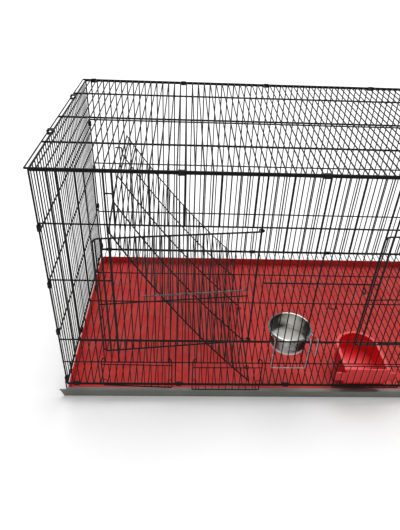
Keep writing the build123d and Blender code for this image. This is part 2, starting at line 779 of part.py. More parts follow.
hook_x = bowl_x + ring_radius
hook_turn = math.radians(holder_hook_angle)
hook_level = ring_z - holder_clearance
side_hook = [
    (bowl_x + ring_radius * math.cos(hook_turn), bowl_y - ring_radius * math.sin(hook_turn), hook_level),
    (hook_x, bowl_y - holder_hook_run, hook_level),
    (hook_x, inside_y, hang_z),
    (hook_x, out_y, hang_z),
    (hook_x, out_y, floor_top + holder_hook_height),
]
with BuildPart() as holder:
    with Locations((bowl_x, bowl_y, ring_z)):
        Torus(ring_radius, holder_wire_radius)
    frame_points = holder_side(-holder_left_reach)
    frame_points += reversed(holder_side(holder_right_reach))
    bent_wire(frame_points, holder_wire_radius, holder_bend_radius)
    bent_wire(side_hook, holder_wire_radius, holder_bend_radius)
save(holder.part, "bowl_holder")

# Feeder: a moulded cup, round at the back, with a wide plate against the front mesh
feeder_x = left_end + feeder_offset
feeder_front = front_face + panel_thickness + feeder_plate_gap
feeder_base = floor_top + feeder_floor_gap
feeder_half = feeder_width / 2


def feeder_outline(grow):
    """Outline of the cup in plan, grown outwards all round except at the flat front."""
    half = feeder_half + grow
    shoulder = feeder_front + feeder_depth - feeder_half
    Line((feeder_x - half, feeder_front), (feeder_x + half, feeder_front))
    Line((feeder_x + half, feeder_front), (feeder_x + half, shoulder))
    ThreePointArc((feeder_x + half, shoulder), (feeder_x, shoulder + half), (feeder_x - half, shoulder))
    Line((feeder_x - half, shoulder), (feeder_x - half, feeder_front))


feeder_top = feeder_base + feeder_height
with BuildPart() as feeder:
    with BuildSketch(Plane.XY.offset(feeder_base)):
        with BuildLine():
            feeder_outline(0)
        make_face()
    extrude(amount=feeder_height)
    with BuildSketch(Plane.XY.offset(feeder_top - feeder_rim_thickness)):
        with BuildLine():
            feeder_outline(feeder_rim)
        make_face()
    extrude(amount=feeder_rim_thickness)
    plate_origin = (feeder_x, feeder_front + feeder_wall, feeder_base)
    with BuildSketch(Plane(plate_origin, x_dir=(1, 0, 0), z_dir=(0, -1, 0))):
        with Locations((0, feeder_plate_rise + feeder_plate_height / 2)):
            Rectangle(feeder_plate_width, feeder_plate_height)
    extrude(amount=feeder_wall)
    with BuildSketch(Plane.XY.offset(feeder_base + feeder_wall)):
        with BuildLine():
            feeder_outline(-feeder_wall)
        make_face()
        with Locations((feeder_x, feeder_front)):
            Rectangle(feeder_width, 2 * feeder_wall, mode=Mode.SUBTRACT)
    extrude(amount=feeder_height, mode=Mode.SUBTRACT)
save(feeder.part, "feeder_cup")
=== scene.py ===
"""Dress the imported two-compartment cage with round welded wire, coats, plating, sheet and plastic."""
import logging
import math
from dataclasses import KW_ONLY, dataclass, field
from enum import Enum
from functools import cache
from typing import Iterable, Sequence, Union

import bpy
from mathutils import Matrix, Vector


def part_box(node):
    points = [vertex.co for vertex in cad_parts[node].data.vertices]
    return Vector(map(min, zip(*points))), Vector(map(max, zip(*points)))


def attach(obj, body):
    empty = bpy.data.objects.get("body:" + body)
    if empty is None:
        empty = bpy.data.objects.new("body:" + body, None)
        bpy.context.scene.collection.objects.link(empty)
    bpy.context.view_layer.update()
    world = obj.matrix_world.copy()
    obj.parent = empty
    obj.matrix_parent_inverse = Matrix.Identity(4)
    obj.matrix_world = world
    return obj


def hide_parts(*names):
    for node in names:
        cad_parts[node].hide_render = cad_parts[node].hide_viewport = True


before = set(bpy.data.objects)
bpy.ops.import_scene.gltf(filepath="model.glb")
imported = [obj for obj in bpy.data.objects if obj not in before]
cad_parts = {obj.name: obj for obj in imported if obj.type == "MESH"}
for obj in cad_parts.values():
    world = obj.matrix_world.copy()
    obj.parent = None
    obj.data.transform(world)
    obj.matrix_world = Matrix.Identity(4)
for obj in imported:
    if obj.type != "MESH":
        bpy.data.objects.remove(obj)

LOG = logging.getLogger("cage")
MM = 0.001
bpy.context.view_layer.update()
RADIUS_ATTRIBUTE = "wire_radius"
BEND_ATTRIBUTE = "wire_bend"
WHITE = (1.0, 1.0, 1.0, 1.0)
ALONG, INWARD, UP = (1, 0, 0), (0, 1, 0), (0, 0, 1)
Material = bpy.types.Material
Node = bpy.types.Node
Outputs = bpy.types.NodeOutputs
Socket = bpy.types.NodeSocket
Tree = bpy.types.NodeTree
Feed = Union[Socket, float, int, bool, tuple, Material]
Inputs = dict[Union[str, int], Feed]
Point = tuple[float, float, float]
Colour = tuple[float, float, float, float]
Span = tuple[float, float]


class Graph:
    """A node tree together with short ways to add and link its nodes."""

    # Where a mix node has its share and its two colours, and where it gives the mixed colour
    mix_share, mix_first, mix_second, mixed = 0, 6, 7, 2

    def __init__(self, tree: Tree) -> None:
        """Keep the tree that the nodes go into."""
        self.tree = tree

    @classmethod
    def blank(cls, owner: bpy.types.ID) -> "Graph":
        """Empty the node tree of a material or a world.

        Args:
            owner: The material or world.

        Returns:
            Its graph.
        """
        owner.use_nodes = True
        owner.node_tree.nodes.clear()
        return cls(owner.node_tree)

    @classmethod
    def group(
        cls, name: str, kind: str, inputs: dict[str, str], outputs: dict[str, str]
    ) -> tuple["Graph", Outputs]:
        """Start a node group.

        Args:
            name: The group's name.
            kind: Its tree's class name.
            inputs: Kinds of its input sockets, by name.
            outputs: Kinds of its output sockets, by name.

        Returns:
            The group's graph, and what it is given.
        """
        tree = bpy.data.node_groups.new(name, kind)
        for way, sockets in (("INPUT", inputs), ("OUTPUT", outputs)):
            for label, socket in sockets.items():
                tree.interface.new_socket(name=label, in_out=way, socket_type=f"NodeSocket{socket}")
        graph = cls(tree)
        return graph, graph.put("NodeGroupInput").outputs

    def put(self, kind: str, inputs: Inputs | None = None, **settings: object) -> Node:
        """Add one node.

        Args:
            kind: The node's class name.
            inputs: Values or sockets for the node's inputs, by name or by position.
            settings: Properties of the node itself.

        Returns:
            The new node.
        """
        node = self.tree.nodes.new(kind)
        for name, value in settings.items():
            setattr(node, name, value)
        for key, value in (inputs or {}).items():
            if isinstance(value, Socket):
                self.tree.links.new(value, node.inputs[key])
            else:
                node.inputs[key].default_value = value
        return node

    def maths(self, operation: str, first: Feed, second: Feed = 0.0, clamp: bool = False) -> Socket:
        """Add a maths node and return its result, which clamp keeps between 0 and 1."""
        node = self.put("ShaderNodeMath", {0: first, 1: second}, operation=operation, use_clamp=clamp)
        return node.outputs[0]

    def vector(self, operation: str, first: Feed, second: Feed = (0.0, 0.0, 0.0)) -> Node:
        """Add a vector maths node."""
        return self.put("ShaderNodeVectorMath", {0: first, 1: second}, operation=operation)

    def spread(self, value: Feed, low: float, high: float) -> Socket:
        """Map a value from 0..1 on to a range from low to high."""
        node = self.put("ShaderNodeMapRange", {"Value": value, "To Min": low, "To Max": high})
        return node.outputs["Result"]

    def ramp(self, value: Feed, start: float, end: float) -> Socket:
        """Map a range on to 0..1, and keep what lies outside it at 0 or 1."""
        node = self.put("ShaderNodeMapRange", {"Value": value, "From Min": start, "From Max": end})
        return node.outputs["Result"]

    def mix(self, share: Feed, first: Feed, second: Feed) -> Socket:
        """Mix two colours, where share says how much of the second one shows."""
        inputs = {self.mix_share: share, self.mix_first: first, self.mix_second: second}
        return self.put("ShaderNodeMix", inputs, data_type="RGBA").outputs[self.mixed]

    def noise(self, place: Feed, scale: Feed, detail: float, roughness: float) -> Socket:
        """Add a noise texture and return its value."""
        inputs = {"Vector": place, "Scale": scale, "Detail": detail, "Roughness": roughness}
        return self.put("ShaderNodeTexNoise", inputs).outputs["Fac"]


class WireKind(Enum):
    """How a bundle's wires run."""

    STRAIGHT = "straight"
    BENT = "bent"


@dataclass(frozen=True)
class Wire:
    """One round wire: the points that it follows in millimetres, its radius and the radius of its bends."""

    points: tuple[Point, ...]
    radius: float
    bend: float = 0.0
    closed: bool = False


class WireWork:
    """The geometry tree that turns chains of edges into round wire."""

    inputs = {
        "Wires": "Geometry",
        "Sides": "Int",
        "Step": "Float",
        "Sway": "Float",
        "Seed": "Float",
        "Bend Segments": "Int",
        "Finish": "Material",
    }
    phase_step = 7.31
    sway_scale = 5.0

    @classmethod
    @cache
    def tree(cls, kind: WireKind) -> Tree:
        """Build the tree for one kind of wire once.

        Args:
            kind: Whether the wires are straight and sway a little, or are bent round corners.

        Returns:
            The geometry tree.
        """
        name = f"{kind.value}_wire"
        graph, given = Graph.group(name, "GeometryNodeTree", cls.inputs, {"Wires": "Geometry"})
        chain = graph.put("GeometryNodeMeshToCurve", {"Mesh": given["Wires"]}).outputs["Curve"]
        run = cls.sway if kind is WireKind.STRAIGHT else cls.bend
        ring = graph.put("GeometryNodeCurvePrimitiveCircle", {"Resolution": given["Sides"], "Radius": 1.0})
        tube = graph.put(
            "GeometryNodeCurveToMesh",
            {
                "Curve": run(graph, chain, given),
                "Profile Curve": ring.outputs["Curve"],
                "Scale": cls.attribute(graph, RADIUS_ATTRIBUTE),
                "Fill Caps": True,
            },
        )
        smooth = graph.put("GeometryNodeSetShadeSmooth", {"Geometry": tube.outputs["Mesh"]})
        real = graph.put("GeometryNodeRealizeInstances", {"Geometry": smooth.outputs["Geometry"]})
        coated = graph.put(
            "GeometryNodeSetMaterial", {"Geometry": real.outputs["Geometry"], "Material": given["Finish"]}
        )
        graph.put("NodeGroupOutput", {"Wires": coated.outputs["Geometry"]})
        return graph.tree

    @staticmethod
    def attribute(graph: Graph, name: str) -> Socket:
        """Read a number that the chains' points carry."""
        node = graph.put("GeometryNodeInputNamedAttribute", {"Name": name}, data_type="FLOAT")
        return node.outputs["Attribute"]

    @classmethod
    def bend(cls, graph: Graph, chain: Socket, given: Outputs) -> Socket:
        """Round each wire's corners.

        Args:
            graph: The tree being built.
            chain: The wires with sharp corners.
            given: The tree's inputs.

        Returns:
            The bent wires.
        """
        inputs = {
            "Curve": chain,
            "Count": given["Bend Segments"],
            "Radius": cls.attribute(graph, BEND_ATTRIBUTE),
            "Limit Radius": True,
        }
        return graph.put("GeometryNodeFilletCurve", inputs, mode="POLY").outputs["Curve"]

    @classmethod
    def sway(cls, graph: Graph, chain: Socket, given: Outputs) -> Socket:
        """Let each straight wire wander a little between its welded ends.

        Args:
            graph: The tree being built.
            chain: The straight wires.
            given: The tree's inputs.

        Returns:
            The swayed wires.
        """
        inputs = {"Curve": chain, "Length": given["Step"]}
        finer = graph.put("GeometryNodeResampleCurve", inputs, mode="LENGTH").outputs["Curve"]
        along = graph.put("GeometryNodeSplineParameter").outputs["Factor"]
        # A parabola that is 0 at both ends and 1 in the middle
        sides = graph.maths("MULTIPLY", along, graph.maths("SUBTRACT", 1.0, along))
        window = graph.maths("MULTIPLY", sides, 4.0)
        which = graph.put("GeometryNodeCurveOfPoint").outputs["Curve Index"]
        phase = graph.maths("ADD", graph.maths("MULTIPLY", which, cls.phase_step), given["Seed"])
        place = graph.put("GeometryNodeInputPosition").outputs["Position"]
        sample = {"Vector": place, "W": phase, "Scale": cls.sway_scale}
        noise = graph.put("ShaderNodeTexNoise", sample, noise_dimensions="4D").outputs["Color"]
        centred = graph.vector("SUBTRACT", noise, (0.5, 0.5, 0.5)).outputs["Vector"]
        reach = graph.maths("MULTIPLY", window, given["Sway"])
        moved = graph.put("ShaderNodeVectorMath", {0: centred, "Scale": reach}, operation="SCALE")
        offset = {"Geometry": finer, "Offset": moved.outputs["Vector"]}
        return graph.put("GeometryNodeSetPosition", offset).outputs["Geometry"]


@dataclass
class WireBundle:
    """Wires of one finish that make up one piece."""

    name: str
    kind: WireKind = WireKind.STRAIGHT
    sides: int = 8
    step: float = 60.0
    sway: float = 0.7
    seed: float = 1.0
    bend_segments: int = 6
    wires: list[Wire] = field(default_factory=list)

    def add(self, points: Sequence[Point], radius: float, bend: float = 0.0, closed: bool = False) -> None:
        """Add one wire, in millimetres, whose end joins its start if it is closed."""
        self.wires.append(Wire(tuple(points), radius, bend, closed))

    def build(self, finish: Material) -> bpy.types.Object:
        """Make the piece as a plain mesh at the origin.

        Args:
            finish: The wires' material.

        Returns:
            The finished object.
        """
        carrier = self._carrier()
        modifier = carrier.modifiers.new("wire_work", "NODES")
        modifier.node_group = WireWork.tree(self.kind)
        values: dict[str, object] = {
            "Sides": self.sides,
            "Step": self.step * MM,
            "Sway": self.sway * MM,
            "Seed": self.seed,
            "Bend Segments": self.bend_segments,
            "Finish": finish,
        }
        for item in modifier.node_group.interface.items_tree:
            if item.in_out == "INPUT" and item.name in values:
                modifier[item.identifier] = values[item.name]
        bpy.context.view_layer.update()
        shown = carrier.evaluated_get(bpy.context.evaluated_depsgraph_get())
        mesh = bpy.data.meshes.new_from_object(shown)
        carrier.modifiers.remove(modifier)
        thread = carrier.data
        carrier.data = mesh
        mesh.name = self.name
        bpy.data.meshes.remove(thread)
        LOG.info("%s: %d wires, %d faces", self.name, len(self.wires), len(mesh.polygons))
        return carrier

    def _carrier(self) -> bpy.types.Object:
        """Make the object that holds the wires' centre lines as chains of edges.

        Returns:
            The object with its radius and bend attributes.
        """
        places: list[Point] = []
        edges: list[tuple[int, int]] = []
        radii: list[float] = []
        bends: list[float] = []
        for wire in self.wires:
            first = len(places)
            count = len(wire.points)
            places += [(x * MM, y * MM, z * MM) for x, y, z in wire.points]
            edges += [(first + i, first + i + 1) for i in range(count - 1)]
            if wire.closed:
                edges.append((first + count - 1, first))
            radii += [wire.radius * MM] * count
            bends += [wire.bend * MM] * count
        mesh = bpy.data.meshes.new(f"{self.name}_thread")
        mesh.from_pydata(places, edges, [])
        for name, values in ((RADIUS_ATTRIBUTE, radii), (BEND_ATTRIBUTE, bends)):
            mesh.attributes.new(name, "FLOAT", "POINT").data.foreach_set("value", values)
        carrier = bpy.data.objects.new(self.name, mesh)
        bpy.context.scene.collection.objects.link(carrier)
        return carrier


class Effects:
    """Shader node groups that several finishes share."""

    patch_relief = 0.35

    @classmethod
    @cache
    def mottle(cls) -> Tree:
        """Uneven shade, gloss and relief of a coat or a moulding.

        Returns:
            The node group.
        """
        inputs = {"Vector": "Vector", "Patch Scale": "Float", "Grain Scale": "Float"}
        outputs = {"Patch": "Float", "Grain": "Float", "Relief": "Float"}
        graph, given = Graph.group("mottle", "ShaderNodeTree", inputs, outputs)
        patch = graph.noise(given["Vector"], given["Patch Scale"], detail=4.0, roughness=0.55)
        grain = graph.noise(given["Vector"], given["Grain Scale"], detail=2.0, roughness=0.5)
        relief = graph.maths("ADD", grain, graph.maths("MULTIPLY", patch, cls.patch_relief))
        sharper = graph.ramp(patch, start=0.3, end=0.7)
        graph.put("NodeGroupOutput", {"Patch": sharper, "Grain": grain, "Relief": relief})
        return graph.tree

    @staticmethod
    @cache
    def dust() -> Tree:
        """Mask of fine dust and scuffs that lie on the upper side of things.

        Returns:
            The node group.
        """
        inputs = {"Vector": "Vector", "Scale": "Float", "Amount": "Float"}
        graph, given = Graph.group("dust", "ShaderNodeTree", inputs, {"Mask": "Float"})
        cloud = graph.noise(given["Vector"], given["Scale"], detail=6.0, roughness=0.65)
        normal = graph.put("ShaderNodeNewGeometry").outputs["Normal"]
        facing = graph.put("ShaderNodeSeparateXYZ", {"Vector": normal}).outputs["Z"]
        patchy = graph.ramp(cloud, start=0.42, end=0.72)
        settled = graph.maths("MULTIPLY", patchy, graph.maths("MAXIMUM", facing, 0.0))
        mask = graph.maths("MULTIPLY", settled, given["Amount"], clamp=True)
        graph.put("NodeGroupOutput", {"Mask": mask})
        return graph.tree

    @staticmethod
    @cache
    def strokes() -> Tree:
        """Fine lines of polishing or rolling, drawn out along one direction.

        Returns:
            The node group.
        """
        inputs = {"Vector": "Vector", "Stretch": "Vector", "Scale": "Float"}
        graph, given = Graph.group("strokes", "ShaderNodeTree", inputs, {"Lines": "Float"})
        drawn = graph.vector("MULTIPLY", given["Vector"], given["Stretch"]).outputs["Vector"]
        lines = graph.noise(drawn, given["Scale"], detail=5.0, roughness=0.7)
        graph.put("NodeGroupOutput", {"Lines": lines})
        return graph.tree


@dataclass(frozen=True)
class Finish:
    """What every finish has: a name, how uneven and rough it is, and ways to start and end its material."""

    name: str
    _: KW_ONLY
    patch_scale: float
    grain_scale: float
    rough_low: float
    rough_high: float
    relief: float
    relief_depth: float

    def start(self) -> tuple[Material, Graph, Socket]:
        """Start a material.

        Returns:
            The material, its graph and its object coordinates.
        """
        material = bpy.data.materials.new(self.name)
        graph = Graph.blank(material)
        return material, graph, graph.put("ShaderNodeTexCoord").outputs["Object"]

    @staticmethod
    def shade(graph: Graph, inputs: Inputs) -> None:
        """End a material with a shader that has these inputs."""
        shader = graph.put("ShaderNodeBsdfPrincipled", inputs)
        graph.put("ShaderNodeOutputMaterial", {"Surface": shader.outputs["BSDF"]})

    @staticmethod
    def effect(graph: Graph, tree: Tree, inputs: Inputs) -> Outputs:
        """Place a shared effect in a material and return its outputs."""
        return graph.put("ShaderNodeGroup", inputs, node_tree=tree).outputs

    def uneven(self, graph: Graph, place: Socket) -> Outputs:
        """Place the finish's mottle in a material and return its outputs."""
        inputs = {"Vector": place, "Patch Scale": self.patch_scale, "Grain Scale": self.grain_scale}
        return self.effect(graph, Effects.mottle(), inputs)

    def rough(self, graph: Graph, value: Feed) -> Socket:
        """Map a value from 0..1 on to the finish's range of roughness."""
        return graph.spread(value, self.rough_low, self.rough_high)

    def bump(self, graph: Graph, height: Feed) -> Socket:
        """Turn a height into the finish's relief."""
        inputs = {"Strength": self.relief, "Distance": self.relief_depth * MM, "Height": height}
        return graph.put("ShaderNodeBump", inputs).outputs["Normal"]


@dataclass(frozen=True, kw_only=True)
class DustyFinish(Finish):
    """A finish that dust settles on."""

    dark: Colour
    light: Colour
    dusty: Colour
    dust_scale: float
    dust_amount: float

    def dusted(self, graph: Graph, place: Socket, share: Feed) -> Socket:
        """Mix the dark shade with a share of the light one, and let dust show on them.

        Args:
            graph: The material's graph.
            place: Its object coordinates.
            share: How much of the light shade shows.

        Returns:
            The dusty colour.
        """
        inputs = {"Vector": place, "Scale": self.dust_scale, "Amount": self.dust_amount}
        mask = self.effect(graph, Effects.dust(), inputs)["Mask"]
        return graph.mix(mask, graph.mix(share, self.dark, self.light), self.dusty)


@dataclass(frozen=True, kw_only=True)
class MottledCoat(DustyFinish):
    """A coat or plastic with patches of two near shades."""

    shine: float

    def material(self) -> Material:
        """Build the material.

        Returns:
            The coat's or plastic's material.
        """
        material, graph, place = self.start()
        uneven = self.uneven(graph, place)
        inputs = {
            "Base Color": self.dusted(graph, place, uneven["Patch"]),
            "Roughness": self.rough(graph, uneven["Grain"]),
            "Specular IOR Level": self.shine,
            "Normal": self.bump(graph, uneven["Relief"]),
        }
        self.shade(graph, inputs)
        return material


@dataclass(frozen=True, kw_only=True)
class PowderCoat(MottledCoat):
    """Black coat baked on wire."""

    dark: Colour = (0.0025, 0.0025, 0.0028, 1.0)
    light: Colour = (0.008, 0.0078, 0.0076, 1.0)
    dusty: Colour = (0.05, 0.048, 0.045, 1.0)
    dust_scale: float = 140.0
    dust_amount: float = 0.2
    patch_scale: float = 55.0
    grain_scale: float = 2600.0
    rough_low: float = 0.4
    rough_high: float = 0.6
    relief: float = 0.35
    relief_depth: float = 0.06
    shine: float = 0.12


@dataclass(frozen=True, kw_only=True)
class RedPlastic(MottledCoat):
    """Red plastic, glossy on the feeder and matt on the tray's liner."""

    dark: Colour = (0.70, 0.004, 0.009, 1.0)
    light: Colour = (0.85, 0.006, 0.014, 1.0)
    dusty: Colour = (0.55, 0.20, 0.18, 1.0)
    dust_scale: float = 22.0
    dust_amount: float = 0.2
    patch_scale: float = 14.0
    grain_scale: float = 900.0
    rough_low: float = 0.3
    rough_high: float = 0.42
    relief: float = 0.25
    relief_depth: float = 0.05
    shine: float = 0.5


@dataclass(frozen=True, kw_only=True)
class PlatedWire(Finish):
    """Plated wire, bright on the bowl's holder and darker on the bolts."""

    bright: Colour = (0.38, 0.36, 0.35, 1.0)
    dull: Colour = (0.12, 0.105, 0.10, 1.0)
    patch_scale: float = 120.0
    grain_scale: float = 1800.0
    rough_low: float = 0.12
    rough_high: float = 0.3
    relief: float = 0.15
    relief_depth: float = 0.03

    def material(self) -> Material:
        """Build the material.

        Returns:
            The plating's material.
        """
        material, graph, place = self.start()
        uneven = self.uneven(graph, place)
        inputs = {
            "Base Color": graph.mix(uneven["Patch"], self.bright, self.dull),
            "Metallic": 1.0,
            "Roughness": self.rough(graph, uneven["Patch"]),
            "Normal": self.bump(graph, uneven["Relief"]),
        }
        self.shade(graph, inputs)
        return material


@dataclass(frozen=True, kw_only=True)
class SpunSteel(Finish):
    """Steel spun in rings round an upright axis, with painted reflections in sectors on its wall, painted
    dark between them, and a rougher floor with a painted highlight.
    """

    centre: Span
    base: float
    # bright is the painted reflection and the painted floor highlight; dull is the painted dark reflection
    # on the wall between the sectors
    bright: Colour = (0.92, 0.91, 0.87, 1.0)
    dull: Colour = (0.05, 0.053, 0.047, 1.0)
    patch_scale: float = 38.0
    grain_scale: float = 1500.0
    ring_scale: float = 900.0
    sector_count: int = 2
    sector_turn: float = 78.0
    sector_wander: float = 0.9
    # Strength of the painted reflections on the wall, and how much patches dim them
    wall_reflection: float = 0.68
    reflection_patch_share: float = 0.7
    floor_flat: float = 5.6
    floor_depth: float = 14.0
    floor_metal: float = 0.2
    floor_rough: float = 0.5
    rough_low: float = 0.2
    rough_high: float = 0.36
    relief: float = 0.05
    relief_depth: float = 0.02

    def material(self) -> Material:
        """Build the material.

        Returns:
            The steel's material.
        """
        material, graph, place = self.start()
        local = graph.vector("SUBTRACT", place, (*self.centre, 0.0)).outputs["Vector"]
        flat = graph.vector("MULTIPLY", local, (1.0, 1.0, 0.0)).outputs["Vector"]
        radius = graph.vector("LENGTH", flat).outputs["Value"]
        parts = graph.put("ShaderNodeSeparateXYZ", {"Vector": local}).outputs
        ring_place = graph.put("ShaderNodeCombineXYZ", {"X": radius, "Y": parts["Z"]}).outputs["Vector"]
        ring_inputs = {"Vector": ring_place, "Stretch": (1.0, 1.0, 1.0), "Scale": self.ring_scale}
        rings = self.effect(graph, Effects.strokes(), ring_inputs)["Lines"]
        patch = self.uneven(graph, local)["Patch"]
        above = graph.maths("SUBTRACT", parts["Z"], self.base)
        # The floor is rougher from scouring, and its near-white colour is a painted highlight
        floor = graph.ramp(above, start=self.floor_depth * MM, end=self.floor_flat * MM)
        # Painted reflections: bright sectors on the wall, dimmed in patches
        painted_reflection = graph.maths("MULTIPLY", self.reflection_sectors(graph, parts, patch), self.wall_reflection)
        patchy_reflection = graph.maths("MULTIPLY", painted_reflection, graph.spread(patch, 1.0, self.reflection_patch_share))
        scoured = graph.maths("MULTIPLY", floor, self.floor_rough)
        inputs = {
            # The colour paints the reflections and the floor's highlight, and paints the wall dark
            # elsewhere
            "Base Color": graph.mix(graph.maths("MAXIMUM", patchy_reflection, floor), self.dull, self.bright),
            "Metallic": graph.spread(floor, 1.0, self.floor_metal),
            "Roughness": graph.maths("ADD", self.rough(graph, rings), scoured),
            "Normal": self.bump(graph, rings),
        }
        self.shade(graph, inputs)
        return material

    def reflection_sectors(self, graph: Graph, parts: Outputs, patch: Socket) -> Socket:
        """Mask the sectors where reflections are painted on the wall, with wandering edges.

        Args:
            graph: The material's graph.
            parts: The place on the steel, from its axis.
            patch: What the edges wander with.

        Returns:
            A value of 1 in the middle of each sector, and of 0 between them.
        """
        turned = graph.maths("ARCTAN2", parts["Y"], parts["X"])
        angle = graph.maths("SUBTRACT", turned, math.radians(self.sector_turn))
        phase = graph.maths("MULTIPLY", angle, self.sector_count)
        wander = graph.maths("MULTIPLY", patch, self.sector_wander)
        return graph.maths("MAXIMUM", graph.maths("COSINE", graph.maths("ADD", phase, wander)), 0.0)


@dataclass(frozen=True, kw_only=True)
class DullSheet(DustyFinish):
    """Dull grey rolled sheet of the tray."""

    dark: Colour = (0.140, 0.143, 0.128, 1.0)
    light: Colour = (0.220, 0.222, 0.200, 1.0)
    dusty: Colour = (0.22, 0.22, 0.21, 1.0)
    dust_scale: float = 60.0
    dust_amount: float = 0.5
    patch_scale: float = 9.0
    grain_scale: float = 1400.0
    patch_share: float = 0.6
    line_share: float = 0.4
    line_scale: float = 420.0
    line_stretch: Point = (0.04, 1.0, 1.0)
    metal: float = 0.25
    rough_low: float = 0.42
    rough_high: float = 0.66
    relief: float = 0.2
    relief_depth: float = 0.08

    def material(self) -> Material:
        """Build the material.

        Returns:
            The sheet's material.
        """
        material, graph, place = self.start()
        line_inputs = {"Vector": place, "Stretch": self.line_stretch, "Scale": self.line_scale}
        lines = self.effect(graph, Effects.strokes(), line_inputs)["Lines"]
        patches = graph.maths("MULTIPLY", self.uneven(graph, place)["Patch"], self.patch_share)
        share = graph.maths("ADD", patches, graph.maths("MULTIPLY", lines, self.line_share))
        inputs = {
            "Base Color": self.dusted(graph, place, share),
            "Metallic": self.metal,
            "Roughness": self.rough(graph, lines),
            "Normal": self.bump(graph, lines),
        }
        self.shade(graph, inputs)
        return material


def dress(nodes: Iterable[str], finish: Material) -> None:
    """Give carried-over solids a finish.

    Args:
        nodes: The solids' names.
        finish: Their material.
    """
    for name in nodes:
        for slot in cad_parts[name].material_slots:
            slot.material = finish
        LOG.info("%s: dressed with %s", name, finish.name)


def stand_for(piece: bpy.types.Object, node: str, body: str) -> None:
    """Let a piece stand for a solid.

    Args:
        piece: The finished piece.
        node: The solid that it stands for.
        body: The body that it moves with.
    """
    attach(piece, body)
    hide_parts(node)


@dataclass(frozen=True)
class Face:
    """One side of the wire box: where it lies and which ways it runs, in millimetres."""

    origin: Point
    along: Point
    up: Point
    out: Point

    def at(self, u: float, v: float, lift: float = 0.0) -> Point:
        """Place a point by its distances along the face, up it and out of it."""
        spot = Vector(self.origin) + Vector(self.along) * u + Vector(self.up) * v + Vector(self.out) * lift
        return (spot.x, spot.y, spot.z)

    def upright(self, u: float, rise: Span, lift: float = 0.0) -> list[Point]:
        """Ends of a wire that runs up the face."""
        return [self.at(u, v, lift) for v in rise]

    def crossing(self, v: float, run: Span, lift: float = 0.0) -> list[Point]:
        """Ends of a wire that runs along the face."""
        return [self.at(u, v, lift) for u in run]


@dataclass(frozen=True)
class CageSizes:
    """Sizes of the wire box that its pieces share, in millimetres."""

    compartment: float = 544.0
    half_depth: float = 288.0
    height: float = 544.0
    floor_top: float = 40.0
    plate: float = 2.4
    pitch: float = 16.0
    rail_inset: float = 2.0
    flap_bar: float = 74.0
    sill_bar: float = 144.0
    middle_bar: float = 307.0
    lintel_bar: float = 437.0
    side_bars: tuple[float, float, float] = (157.0, 301.0, 418.0)
    roof_bars: tuple[float, float, float] = (125.0, 272.0, 448.0)
    floor_bars: tuple[float, float, float] = (148.0, 310.0, 448.0)
    jamb: float = 128.0
    hinge: float = 416.0
    field_start: float = 432.0
    flap_width: float = 160.0
    flap_spacing: float = 208.0
    roof_overhang: float = 7.0

    @property
    def mesh_y(self) -> float:
        """Y of the front wall's middle plane."""
        return -self.half_depth + self.plate / 2

    @property
    def starts(self) -> dict[str, float]:
        """Left end of each compartment."""
        return {"left": -self.compartment, "right": 0.0}

    @property
    def front_ends(self) -> Span:
        """Places of the uprights at the front wall's two ends."""
        return (self.rail_inset - self.compartment, self.compartment - self.rail_inset)

    @property
    def flap_middles(self) -> list[float]:
        """Middles of the flaps, from left to right."""
        middles = [start + self.compartment / 2 for start in self.starts.values()]
        return [m + shift for m in middles for shift in (-self.flap_spacing / 2, self.flap_spacing / 2)]

    def grid(self, start: float, end: float) -> list[float]:
        """Wire positions from start to end, about one pitch apart."""
        bays = max(1, round((end - start) / self.pitch))
        return [start + (end - start) * i / bays for i in range(bays + 1)]


